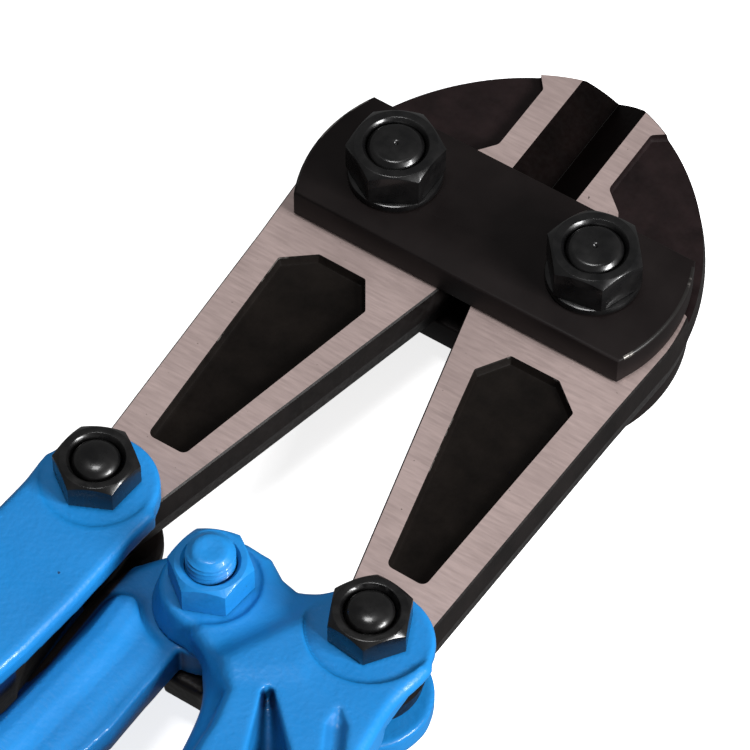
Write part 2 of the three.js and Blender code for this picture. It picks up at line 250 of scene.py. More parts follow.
def blue_paint(name, roughness, peel):
    """Thick glossy paint over a casting: orange peel, a slow random change of tone, a few dark pits,
    painted shade that darkens recesses towards navy, and painted shadow that turns chosen places
    near-black.
    """
    paint = Surface(name, (0.009, 0.18, 0.49), roughness, 0.0, 0.25)
    paint.coat(0.16, 0.07)
    slow = paint.noise(25, 3.0)
    skin = paint.noise(950, 2.0, 0.4)
    coarse = paint.noise(110)
    pits = paint.ramp(paint.noise(330, 2.0), (0.775, 0.0), (0.8, 0.8))
    shade = paint.ramp(slow, (0.3, (0.008, 0.155, 0.42)), (0.7, (0.011, 0.2, 0.53)))
    shade = paint.blend(pits, shade, (0.01, 0.02, 0.05))
    # painted shade: enclosed places such as slits, slots, flutes and creases are darkened towards navy
    shade = paint.blend(paint.mask("painted_shade"), shade, (0.0008, 0.012, 0.055))
    # painted shadow: places inside the slots, the slit and under the ears are turned near-black
    shade = paint.blend(paint.mask("painted_shadow"), shade, (0.006, 0.004, 0.0035))
    paint.feed("Base Color", shade)
    paint.rough(coarse, (0.3, roughness - 0.08), (0.7, roughness + 0.1))
    return paint.finished((coarse, 0.35, 0.45), (skin, peel, 0.14))


def rubber(name):
    """Matt black moulded rubber with a fine grain."""
    skin = Surface(name, (0.014, 0.014, 0.015), 0.62, 0.0, 0.35)
    grain = skin.noise(1600, 2.0)
    clouds = skin.noise(70)
    skin.tint(clouds, (0.3, (0.011, 0.011, 0.012)), (0.7, (0.021, 0.021, 0.022)))
    skin.rough(clouds, (0.3, 0.54), (0.7, 0.72))
    return skin.finished((grain, 0.35, 0.06), (clouds, 0.1, 0.2))


def zinc(name):
    """Dull zinc plating on the tube pins."""
    plating = Surface(name, (0.55, 0.55, 0.53), 0.35, 1.0)
    clouds = plating.noise(300)
    plating.tint(clouds, (0.3, (0.42, 0.42, 0.4)), (0.7, (0.62, 0.61, 0.58)))
    plating.rough(clouds, (0.3, 0.28), (0.7, 0.48))
    return plating.finished((clouds, 0.2, 0.05))


GROUND = {-1: ground_steel("ground_face_left", math.radians(15)),
          1: ground_steel("ground_face_right", math.radians(-15))}
FORGED_SIDE = forged("forged_side", (0.0045, 0.0034, 0.0032), 0.4, 0.22)
FORGED_POCKET = forged("forged_pocket", (0.0048, 0.0036, 0.003), 0.55, 0.06, 0.4)
POCKET_RIM = worn_edge("pocket_rim", (0.005, 0.004, 0.0036), 0.12)
FORGED_RELIEF = forged("forged_relief", (0.009, 0.0052, 0.0054), 0.5, 0.12)
BEVEL_STEEL = forged("cutting_bevel", (0.0022, 0.0012, 0.0011), 0.4, 0.04, 0.05)
PLATE_BLACK = satin_black("link_plate_black")
PLATE_WORN = worn_edge("link_plate_edge", (0.007, 0.006, 0.0055), 0.3)
OXIDE = black_oxide("black_oxide")
PAINT = blue_paint("blue_paint", 0.4, 0.6)
PAINT_TUBE = blue_paint("blue_paint_tube", 0.3, 0.15)
RUBBER = rubber("grip_rubber")
ZINC = zinc("zinc_plate")

# -------- outlines and meshes


def closed_outline(points):
    """The points as an array, counterclockwise."""
    points = np.array(points, float)
    x, y = points[:, 0], points[:, 1]
    turned = np.sum(x * np.roll(y, -1) - y * np.roll(x, -1)) > 0
    return points if turned else points[::-1].copy()


def arc(cx, cy, radius, start, end, count):
    angles = np.radians(np.linspace(start, end, count))
    return [(cx + radius * math.cos(a), cy + radius * math.sin(a)) for a in angles]


def bezier(p0, p1, p2, p3, count):
    t = np.linspace(0, 1, count)[:, None]
    p0, p1, p2, p3 = (np.array(p, float) for p in (p0, p1, p2, p3))
    curve = (1 - t) ** 3 * p0 + 3 * (1 - t) ** 2 * t * p1 + 3 * (1 - t) * t ** 2 * p2 + t ** 3 * p3
    return [tuple(p) for p in curve]


def rounded(corners, steps=5):
    """An outline from (x, y, radius) corners."""
    points = []
    count = len(corners)
    for i, (x, y, radius) in enumerate(corners):
        here = np.array((x, y), float)
        before = np.array(corners[i - 1][:2], float) - here
        after = np.array(corners[(i + 1) % count][:2], float) - here
        a, b = before / np.linalg.norm(before), after / np.linalg.norm(after)
        half = math.acos(max(-1, min(1, float(a @ b)))) / 2
        if radius <= 0 or half > 1.55:
            points.append(tuple(here))
            continue
        reach = radius / math.tan(half)
        start, end = here + a * reach, here + b * reach
        centre = here + (a + b) / np.linalg.norm(a + b) * radius / math.sin(half)
        first = math.atan2(*(start - centre)[::-1])
        sweep = math.atan2(*(end - centre)[::-1]) - first
        sweep = (sweep + math.pi) % (2 * math.pi) - math.pi
        for k in range(steps + 1):
            angle = first + sweep * k / steps
            points.append(tuple(centre + radius * np.array((math.cos(angle), math.sin(angle)))))
    return points


def mirror(side, points):
    return [(side * p[0], *p[1:]) for p in points]


def inset(points, distance):
    """A counterclockwise outline moved inwards."""
    before = points - np.roll(points, 1, 0)
    after = np.roll(points, -1, 0) - points
    n1, n2 = (np.stack([-edge[:, 1], edge[:, 0]], 1) for edge in (before, after))
    n1, n2 = (n / np.maximum(np.linalg.norm(n, axis=1), 1e-9)[:, None] for n in (n1, n2))
    dot = np.maximum((n1 * n2).sum(1), -0.6)
    return points + distance * (n1 + n2) / (1 + dot)[:, None]


def in_scene(name, data):
    thing = bpy.data.objects.new(name, data)
    bpy.context.scene.collection.objects.link(thing)
    return thing


def make_mesh(name, data, materials, smooth_angle=32):
    """An object from (vertices, faces) or (vertices, faces, material indices), in millimetres."""
    mesh = bpy.data.meshes.new(name)
    place = np.array(data[0], float) * MM + np.array(ORIGIN)
    mesh.from_pydata(place.tolist(), [], data[1])
    for material in materials:
        mesh.materials.append(material)
    if len(data) > 2:
        mesh.polygons.foreach_set("material_index", np.array(data[2], np.int32))
    mesh.update()
    finish_mesh(mesh, smooth_angle)
    return in_scene(name, mesh)


def finish_mesh(mesh, smooth_angle):
    mesh.polygons.foreach_set("use_smooth", np.ones(len(mesh.polygons), bool))
    if smooth_angle is not None:
        mesh.set_sharp_from_angle(angle=math.radians(smooth_angle))


def ring_faces(count, rows):
    """Walls between rings of count points, and a cap on the first and the last."""
    faces = []
    for low in range(0, (rows - 1) * count, count):
        high = low + count
        faces += [(low + i, low + (i + 1) % count, high + (i + 1) % count, high + i) for i in range(count)]
    faces.append(tuple(reversed(range(count))))
    faces.append(tuple(range((rows - 1) * count, rows * count)))
    return faces


def stack(outline, levels):
    """A solid from (height, inset, material index) levels from the bottom up, closed by flat caps.
    A level's index is for the wall above it; the caps have index 0."""
    outline = closed_outline(outline)
    vertices = []
    for height, distance, _ in levels:
        vertices.extend((x, y, height) for x, y in inset(outline, distance))
    faces = ring_faces(len(outline), len(levels))
    indices = [level[2] for level in levels[:-1] for _ in range(len(outline))] + [0, 0]
    return vertices, faces, indices


def lathe(profile, sides=64, shape=None, x=0.0, y=0.0):
    """A turned body from (radius, height) pairs with the lowest first. A radius of 0 closes it.
    shape(radius, height, angle) may change a point's radius."""
    vertices, faces, rings = [], [], []
    for radius, height in profile:
        if radius <= 1e-6:
            rings.append([len(vertices)])
            vertices.append((x, y, height))
            continue
        ring = []
        for k in range(sides):
            angle = 2 * math.pi * k / sides
            r = radius if shape is None else shape(radius, height, angle)
            ring.append(len(vertices))
            vertices.append((x + r * math.cos(angle), y + r * math.sin(angle), height))
        rings.append(ring)
    for low, high in zip(rings, rings[1:]):
        for k in range(sides):
            j = (k + 1) % sides
            if len(low) == 1:
                faces.append((low[0], high[j], high[k]))
            elif len(high) == 1:
                faces.append((low[k], low[j], high[0]))
            else:
                faces.append((low[k], low[j], high[j], high[k]))
    return vertices, faces


def apply_modifiers(thing, smooth_angle=32):
    graph = bpy.context.evaluated_depsgraph_get()
    mesh = bpy.data.meshes.new_from_object(thing.evaluated_get(graph), preserve_all_data_layers=True,
                                           depsgraph=graph)
    old = thing.data
    thing.modifiers.clear()
    thing.data = mesh
    bpy.data.meshes.remove(old)
    mesh.name = thing.name
    finish_mesh(mesh, smooth_angle)


def discard(thing):
    mesh = thing.data
    bpy.data.objects.remove(thing)
    bpy.data.meshes.remove(mesh)


def carve(thing, tools, operation="DIFFERENCE", smooth_angle=32):
    """Cuts the tools from the thing, and lets each cut face keep its tool's material."""
    for tool in tools:
        modifier = thing.modifiers.new("cut", "BOOLEAN")
        modifier.operation = operation
        modifier.solver = "MANIFOLD"
        modifier.material_mode = "TRANSFER"
        modifier.object = tool
    apply_modifiers(thing, smooth_angle)
    for tool in tools:
        discard(tool)


def soften(thing, width):
    """Small rounded edges."""
    modifier = thing.modifiers.new("edges", "BEVEL")
    modifier.width = width * MM
    modifier.segments = 3
    modifier.limit_method = "ANGLE"
    modifier.angle_limit = math.radians(22)
    modifier.material = 0
    modifier.harden_normals = False
    apply_modifiers(thing, 40)


def stand_for(thing, node):
    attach(thing, BODY_OF[node])
    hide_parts(node)
    return thing


def cylinder(radius, low, high):
    return [(0, low), (radius, low), (radius, high), (0, high)]


def turned_tool(profile, x, y, material, sides=96):
    return make_mesh("tool", lathe(profile, sides, None, x, y), [material], None)


def bore_tool(radius, x, y, material):
    return turned_tool(cylinder(radius, -40, 40), x, y, material, 48)


# -------- jaws

EDGE_X = 0.04    # half the gap between the cutting edges
HEEL_RADIUS = 11.5    # the jaw's tail turns in the fork round the tail bolt


def jaw_outline(side):
    """The left jaw bulges a little more than the right."""
    bulge = 0.6 if side < 0 else 0.0
    points = bezier((EDGE_X, TIP_Y), (18 + bulge, TIP_Y + 0.4), (44.6 + bulge, 27 + bulge), (44.8, -3), 56)
    points += [(43.6, -22), (40.9, -84)]
    points += arc(TAIL.x, TAIL.y, HEEL_RADIUS, 35, -52, 12)
    points += bezier((39.28, -104.66), (37.5, -105.6), (34, -104.6), (31.3, -104.6), 6)[1:]
    points += arc(31.3, TAIL.y, 9, -90, -180, 14)[1:]
    points += [(0.9, -6.6), (0.5, 0), (EDGE_X, 14)]
    return mirror(side, points)


def sunk(corners, levels, side):
    """A recess from (x, y, radius) corners and (height, inset) levels; each level is rounded afresh."""
    corners = closed_outline(corners)
    sharp, radii = corners[:, :2], corners[:, 2]
    vertices = []
    for height, distance in levels:
        sizes = np.maximum(radii - distance * 0.5, np.minimum(radii, 0.35)) * (radii > 0)
        ring = rounded([(x, y, r) for (x, y), r in zip(inset(sharp, distance), sizes)], 6)
        vertices.extend((side * x, y, height) for x, y in ring)
    faces = ring_faces(len(vertices) // len(levels), len(levels))
    return vertices, faces, [0] * len(faces)


def relief_tool(side, sign):
    """The recess in a jaw's shoulder, which leaves a ground strip beside the cutting bevel."""
    strip = 13.6 if side < 0 else 11.9
    top, foot = (41.6, 24.0) if side < 0 else (43.6, 26.6)
    corners = [(strip, top, 1.2), (16.2, top + 3.2, 1.0), (16.8, 60, 0), (62, 60, 0), (62, 4, 0),
               (44, 6.5, 3), (30, 12.5, 6), (20.5, 16.0, 3), (16.8, foot - 4.2, 1.5), (strip, foot, 2.0)]
    floor = JAW_HALF - 1.8
    levels = [(floor, 0.5), (floor + 0.12, 0.25), (floor + 0.45, 0.06), (floor + 0.9, 0),
              (JAW_HALF + 4, -0.1)]
    return signed_tool(sunk(corners, levels, side), sign, FORGED_RELIEF)


def pocket_tool(side, sign):
    """The long pocket in a jaw's arm, with a rim that is rubbed bright in places."""
    corners = [(17.7, -20.9, 0.7), (29.2, -20.8, 0.9), (35.8, -26.1, 0.9), (33.15, -77.5, 1.6),
               (24.15, -77.4, 1.6), (13.2, -27.8, 0.9)]
    floor = JAW_HALF - 1.9
    levels = [(floor, 1.1), (floor + 0.1, 0.8), (floor + 0.4, 0.55), (JAW_HALF - 0.3, 0.16),
              (JAW_HALF - 0.08, 0.03), (JAW_HALF + 2, -0.3)]
    vertices, faces, indices = sunk(corners, levels, side)
    band = (len(faces) - 2) // (len(levels) - 1)
    rim = 3
    indices[rim * band:(rim + 1) * band] = [1] * band
    return signed_tool((vertices, faces, indices), sign, FORGED_POCKET, POCKET_RIM)


def bevel_tool(side, sign):
    """One cutting bevel, which reaches 8 mm into the jaw's face and leaves a thin flat edge."""
    slope, land = JAW_HALF / 8.0, 0.1
    low, high = -1.0, 9.0
    section = [(low, land + low * slope), (high, land + high * slope), (low, land + high * slope)]
    vertices = [(side * x, y, z) for y in (9.5, 70) for x, z in section]
    faces = [(0, 1, 2), (5, 4, 3), (0, 3, 4, 1), (1, 4, 5, 2), (2, 5, 3, 0)]
    return signed_tool((vertices, faces, [0] * 5), sign, BEVEL_STEEL)


def signed_tool(data, sign, *materials):
    """A tool for the upper face, or for the lower face with a sign of -1."""
    vertices, faces, indices = data
    if sign < 0:
        vertices = [(x, y, -z) for x, y, z in vertices]
    return oriented(make_mesh("tool", (vertices, faces, indices), materials, None))


def oriented(thing):
    """Turns all faces outwards."""
    work = bmesh.new()
    work.from_mesh(thing.data)
    bmesh.ops.recalc_face_normals(work, faces=work.faces)
    work.to_mesh(thing.data)
    work.free()
    return thing


def jaw(side, node):
    h = JAW_HALF
    walls = [(-h, 1.2, 1), (-h + 0.4, 0.85, 1), (-0.5, 0.12, 1), (-0.12, 0.0, 1)]
    walls += [(-z, distance, index) for z, distance, index in reversed(walls)]
    data = stack(jaw_outline(side), walls)
    thing = oriented(make_mesh(node + "_forging", data, [GROUND[side], FORGED_SIDE], None))
    tools = []
    for sign in (1, -1):
        tools += [relief_tool(side, sign), pocket_tool(side, sign), bevel_tool(side, sign)]
    tools.append(bore_tool(HEAD_BORE, side * HEAD_X, 0, FORGED_SIDE))
    tools.append(bore_tool(TAIL_BORE, side * TAIL.x, TAIL.y, FORGED_SIDE))
    carve(thing, tools, smooth_angle=24)
    return stand_for(thing, node)


# -------- link plates


def link_plate(node):
    low, high = span(node)
    half_width = high.y
    radius = 33.9
    centre = high.x - radius
    sweep = math.degrees(math.asin(half_width / radius))
    points = arc(centre, 0, radius, -sweep, sweep, 40)
    points += arc(-centre, 0, radius, 180 - sweep, 180 + sweep, 40)
    edge = 0.6
    steps = [(0, edge), (0.08, 0.3), (0.26, 0.1), (edge, 0)]
    levels = [(low.z + rise, distance, 1) for rise, distance in steps]
    levels[-1] = (low.z + edge, 0, 0)
    levels += [(high.z - rise, distance, 1) for rise, distance in reversed(steps)]
    thing = make_mesh(node + "_forging", stack(points, levels), [PLATE_BLACK, PLATE_WORN], None)
    # only the arc ends are rubbed bright: the straight edges keep their coating
    for polygon in thing.data.polygons:
        if polygon.material_index == 1 and abs(polygon.center.y - ORIGIN.y) > (half_width - 1.4) * MM:
            polygon.material_index = 0
    carve(thing, [bore_tool(HEAD_BORE, side * HEAD_X, 0, PLATE_BLACK) for side in (-1, 1)], smooth_angle=50)
    return stand_for(thing, node)


# -------- fasteners


def hex_prism(flats, low, high, corner, x, y):
    """A hexagon flats wide with its first corner at a given angle."""
    radius = flats / math.sqrt(3)
    angles = [math.radians(corner + 60 * k) for k in range(6)]
    ring = [(x + radius * math.cos(a), y + radius * math.sin(a)) for a in angles]
    return [(px, py, z) for z in (low, high) for px, py in ring], ring_faces(6, 2)


def hex_nut(node, corner, bolt_radius, material):
    """A hexagon nut with a turned chamfer, a countersunk mouth and slightly rounded edges."""
    low, high, x, y = upright(node)
    bore = bolt_radius + 0.25
    # the size across flats that gives the CAD nut's box at this turn
    width = max(abs(math.cos(math.radians(corner + 60 * k))) for k in range(6))
    size = (high.x - low.x) / (2 * width) * math.sqrt(3)
    thing = make_mesh(node + "_hex", hex_prism(size, low.z, high.z, corner, x, y), [material], None)
    rim, reach, crown = size / 2 - 0.35, size / math.sqrt(3) + 0.6, 1.5 + 0.15
    cone = [(0, low.z - 0.01), (reach, low.z - 0.01), (reach, low.z + 0.02), (reach, high.z - crown),
            (rim, high.z), (0, high.z)]
    carve(thing, [turned_tool(cone, x, y, material)], "INTERSECT", None)
    mouth = [(0, low.z - 1), (bore, low.z - 1), (bore, high.z - 1.0), (bore + 0.65, high.z - 0.1),
             (bore + 0.8, high.z + 0.05), (bore + 0.8, high.z + 1), (0, high.z + 1)]
    carve(thing, [turned_tool(mouth, x, y, material, 72)], "DIFFERENCE", None)
    soften(thing, 0.28)
    return stand_for(thing, node)


END_LENGTH = {"flat": 1.0, "dome": 2.2, "stub": 1.15}
THREAD_LENGTH = 13


def bolt_end(shape, r, top):
    """The turned end above the thread: flat with a punch mark, a short painted stub, or a dome."""
    if shape == "flat":
        return [(r - 0.1, top - 1.0), (r - 0.75, top - 0.3), (r - 1.05, top - 0.08), (r - 1.5, top),
                (1.2, top), (0.62, top - 0.02), (0.45, top - 0.2), (0.2, top - 0.5), (0, top - 0.55)]
    if shape == "stub":
        return [(r - 0.25, top - 1.1), (r - 0.9, top - 0.75), (r - 1.25, top - 0.3), (r - 1.7, top - 0.08),
                (r - 2.4, top), (1.5, top - 0.06), (0, top - 0.22)]
    height = END_LENGTH[shape]
    angles = np.linspace(0, 1, 12)[:-1] * math.pi / 2
    rows = [(r * 0.98 * math.cos(a) ** 0.75, top - height + height * math.sin(a)) for a in angles]
    return rows + [(0, top)]


def bolt(node, radius, pitch, corner, material, end, flats, head_height):
    """A hexagon-head bolt with a threaded end and a head with a turned chamfer."""
    (low, high), (x, y) = span(node), middle(node).xy
    bottom, top = low.z, high.z
    thread_from, shoulder = top - THREAD_LENGTH, bottom + head_height
    rows = [(0, shoulder - 0.5), (radius, shoulder - 0.5), (radius, thread_from - 0.8)]
    height = thread_from
    while height < top - END_LENGTH[end]:
        rows.append((radius, height))
        height += pitch / 8
    rows += bolt_end(end, radius, top)

    def threaded(r, z, angle):
        if z < thread_from or r < radius - 1e-3:
            return r
        turn = ((z - thread_from) / pitch - angle / (2 * math.pi)) % 1.0
        ridge = abs(turn - 0.5) * 2
        depth = 0.54 * pitch * min(1.0, max(0.0, (ridge - 0.14) / 0.72))
        return r - depth * min(1.0, (z - thread_from) / pitch)

    thing = make_mesh(node + "_threaded", lathe(rows, 72, threaded, x, y), [material], 45)
    head = make_mesh("head", hex_prism(flats, bottom, shoulder - 0.25, corner, x, y), [material], None)
    reach = flats / math.sqrt(3) + 0.6
    cone = [(0, bottom), (flats / 2 - 0.4, bottom), (reach, bottom + 1.5), (reach, shoulder + 1),
            (0, shoulder + 1)]
    carve(head, [turned_tool(cone, x, y, material)], "INTERSECT", None)
    soften(head, 0.3)
    face = cylinder(flats / 2 - 0.6, shoulder - 0.3, shoulder - 0.02)
    collar = make_mesh("collar", lathe(face, 64, None, x, y), [material])
    join(thing, [head, collar])
    return stand_for(thing, node)


def join(thing, others):
    """Adds the other objects' meshes to the thing's."""
    work = bmesh.new()
    work.from_mesh(thing.data)
    for other in others:
        work.from_mesh(other.data)
        discard(other)
    work.to_mesh(thing.data)
    work.free()
    thing.data.update()


def washer(node):
    low, high, x, y = upright(node)
    inner, outer, edge = 6.4, (high.x - low.x) / 2, 0.45
    profile = [(inner, low.z), (outer - edge, low.z), (outer - 0.12, low.z + 0.14), (outer, low.z + edge),
               (outer, high.z - edge), (outer - 0.12, high.z - 0.14), (outer - edge, high.z),
               (inner, high.z), (inner, low.z)]
    thing = make_mesh(node + "_ring", lathe(profile, 96, None, x, y), [OXIDE], 40)
    return stand_for(thing, node)


# -------- castings, from distance fields


class Field:
    """A grid over a box in millimetres, on which solids are drawn as signed distances."""

    def __init__(self, low, high, step):
        self.low, self.step = np.array(low, float), step
        counts = [int(math.ceil((h - l) / step)) + 1 for l, h in zip(low, high)]
        axes = [l + step * np.arange(n) for l, n in zip(low, counts)]
        self.x = axes[0].astype(np.float32)[:, None, None]
        self.y = axes[1].astype(np.float32)[None, :, None]
        self.z = axes[2].astype(np.float32)[None, None, :]

    def outline(self, points):
        """Distance to a closed outline in plan, negative inside."""
        px, py = self.x[:, :, 0], self.y[:, :, 0]
        best = np.full((px.shape[0], py.shape[1]), 1e9, np.float32)
        inside = np.zeros(best.shape, bool)
        points = [tuple(map(float, p[:2])) for p in points]
        for (ax, ay), (bx, by) in zip(points, points[1:] + points[:1]):
            ex, ey = bx - ax, by - ay
            t = np.clip(((px - ax) * ex + (py - ay) * ey) / max(ex * ex + ey * ey, 1e-12), 0, 1)
            best = np.minimum(best, (px - ax - t * ex) ** 2 + (py - ay - t * ey) ** 2)
            if ay != by:
                crosses = (ay > py) != (by > py)
                inside ^= crosses & (px < (bx - ax) * (py - ay) / (by - ay) + ax)
        return (np.where(inside, -1, 1) * np.sqrt(best))[:, :, None].astype(np.float32)

    def disc(self, cx, cy, radius):
        return np.hypot(self.x - cx, self.y - cy) - radius

    def slab(self, plan, half, edge, middle=0.0):
        """A plan shape between two heights, with rounded edges."""
        a, b = plan + edge, np.abs(self.z - middle) - half + edge
        return np.minimum(np.maximum(a, b), 0) + np.hypot(np.maximum(a, 0), np.maximum(b, 0)) - edge

    def plate(self, points, half, edge, middle=0.0):
        return self.slab(self.outline(points), half, edge, middle)

    def along_handle(self, side):
        """Distance from a handle's axis and station along it, at every grid point."""
        dx, dy = self.x - side * HANDLE[0], self.y - HANDLE[1]
        across = dx * math.cos(LEAN) + dy * side * math.sin(LEAN)
        station = dx * side * math.sin(LEAN) - dy * math.cos(LEAN)
        return np.hypot(across, self.z), station

    def mesh(self, values):
        """The zero surface: one vertex in each cell that it crosses, one quad for each grid edge."""
        inside = values < 0
        shape = np.array(values.shape)
        corners = [(i, j, k) for i in (0, 1) for j in (0, 1) for k in (0, 1)]

        def shifted(array, i, j, k):
            return array[i:shape[0] - 1 + i, j:shape[1] - 1 + j, k:shape[2] - 1 + k]

        count = sum(shifted(inside, *c).astype(np.int8) for c in corners)
        cells = (count > 0) & (count < 8)
        index = np.full(cells.shape, -1, np.int64)
        where = np.argwhere(cells)
        index[cells] = np.arange(len(where))
        total = np.zeros((len(where), 3))
        hits = np.zeros(len(where))
        value = {c: values[tuple((where + c).T)] for c in corners}
        for a in corners:
            for axis in range(3):
                if a[axis]:
                    continue
                b = tuple(1 if n == axis else a[n] for n in range(3))
                va, vb = value[a], value[b]
                crossed = (va < 0) != (vb < 0)
                t = np.where(crossed, va / np.where(va == vb, 1, va - vb), 0)
                point = np.array(a, float) + t[:, None] * (np.array(b, float) - np.array(a, float))
                total += np.where(crossed[:, None], point, 0)
                hits += crossed
        points = where + total / hits[:, None]
        quads = []
        for axis in range(3):
            u, v = (axis + 1) % 3, (axis + 2) % 3
            edges = np.argwhere(np.diff(inside, axis=axis))
            beside = edges[:, [u, v]]
            edges = edges[((beside > 0) & (beside < shape[[u, v]] - 1)).all(1)]
            out = inside[tuple(edges.T)]

            def cell(du, dv):
                at = edges.copy()
                at[:, u] += du
                at[:, v] += dv
                return index[tuple(at.T)]

            ring = np.stack([cell(-1, -1), cell(0, -1), cell(0, 0), cell(-1, 0)], 1)
            ring[~out] = ring[~out][:, ::-1]
            quads.append(ring)
        quads = np.concatenate(quads)
        return self.low + points * self.step, quads[(quads >= 0).all(1)]


def smooth_union(a, b, size):
    """Both shapes, with a fillet of about the size where they meet."""
    h = np.clip(0.5 + 0.5 * (b - a) / size, 0, 1)
    return b * (1 - h) + a * h - size * h * (1 - h)


def smooth_cut(a, b, size):
    return -smooth_union(-a, b, size)


def relaxed(points, quads, rounds=4):
    """Evens out the grid's steps without shrinking the shape."""
    edges = np.concatenate([quads[:, [0, 1]], quads[:, [1, 2]], quads[:, [2, 3]], quads[:, [3, 0]]])
    degree = np.bincount(edges.ravel(), minlength=len(points)).astype(float)[:, None]
    for _ in range(rounds):
        for factor in (0.5, -0.53):
            total = np.zeros_like(points)
            for k in range(3):
                total[:, k] = np.bincount(edges[:, 0], points[edges[:, 1], k], len(points))
                total[:, k] += np.bincount(edges[:, 1], points[edges[:, 0], k], len(points))
            points = points + factor * (total / np.maximum(degree, 1) - points)
    return points


def sampled(grid, places):
    """Values of a 2-D or 3-D grid between its points."""
    size = np.array(grid.shape)
    places = np.clip(places, 0, size - 1.001)
    base = places.astype(int)
    part = places - base
    total = np.zeros(len(places))
    for corner in np.ndindex(*(2,) * grid.ndim):
        weight = np.prod(np.where(np.array(corner), part, 1 - part), axis=1)
        total += weight * grid[tuple((base + corner).T)]
    return total


def painted_shade_mask(field, values, places):
    """How enclosed each place is, from the field's own distances a little way out along the normal. It is
    used as painted shade: the paint's colour is darkened towards navy by it.
    """
    slopes = [sampled(g, places) for g in np.gradient(values)]
    normal = np.stack(slopes, 1)
    normal /= np.maximum(np.linalg.norm(normal, axis=1), 1e-6)[:, None]
    closed = np.zeros(len(places))
    for reach in (1.5, 3.0, 5.5):
        distance = sampled(values, places + normal * reach / field.step)
        closed += np.clip(1 - distance / reach - 0.22, 0, 1)
    return np.clip(closed * 0.62, 0, 1)


def field_object(name, field, values, painted_shadow):
    """A painted casting. The last argument holds (plan distance, lowest, highest) places which get painted
    shadow: their colour is taken to near-black. Enclosed places also get painted shade.
    """
    points, quads = field.mesh(values)
    points = relaxed(points, quads)
    places = (points - field.low) / field.step
    # how much painted shadow each vertex gets
    painted_shadow_amount = np.zeros(len(points))
    for plan, low, high in painted_shadow:
        near = np.clip((0.75 - sampled(plan[:, :, 0], places[:, :2])) / 0.4, 0, 1)
        level = np.clip((points[:, 2] - low) / 0.5, 0, 1) * np.clip((high - points[:, 2]) / 0.5, 0, 1)
        painted_shadow_amount = np.maximum(painted_shadow_amount, near * level)
    thing = make_mesh(name, (points, quads.tolist()), [PAINT], None)
    for label, amount in (("painted_shadow", painted_shadow_amount), ("painted_shade", painted_shade_mask(field, values, places))):
        layer = thing.data.attributes.new(label, "FLOAT", "POINT")
        layer.data.foreach_set("value", amount.astype(np.float32))
    return thing


STEP = 0.5
EAR_RADIUS = 12.3
CENTRE_BOLT_ROOM = 7    # the hole in the left casting's tongue


def socket_field(field, side):
    """The socket round the tube, with its beaded end, and the handle's own coordinates."""
    radius, station = field.along_handle(side)
    grow = np.interp(station.ravel(), [16, 40, 56], [8, 13.2, 17]).reshape(station.shape).astype(np.float32)
    wall = (radius - grow) * 0.96
    ends = np.maximum(20 - station, station - 100)
    body = -smooth_union(-wall, -ends, 2.0)
    bead = np.hypot(radius - 16.9, station - 97.5) - 1.6
    return smooth_union(body, bead, 1.5), radius, station


def handle_cuts(field, values, radius, station, side):
    """The bore for the tube and the hole for its pin."""
    values = np.maximum(values, -np.maximum(radius - (TUBE_RADIUS + 0.25), TUBE_START - 1 - station))
    pin = middle("right_tube_pin")
    hole = field.disc(side * pin.x, pin.y, 2.7)
    return smooth_cut(values, hole, 0.6)


def slot_plan(field, side):
    points = [(10, -70), (70, -70), (70, -124), (41, -114), (36, -108.5), (25, -107), (19.6, -101),
              (10, -96)]
    return field.outline(mirror(side, points))


def jaw_slot(field, side):
    return field.slab(slot_plan(field, side), JAW_HALF + 0.3, 0.2)


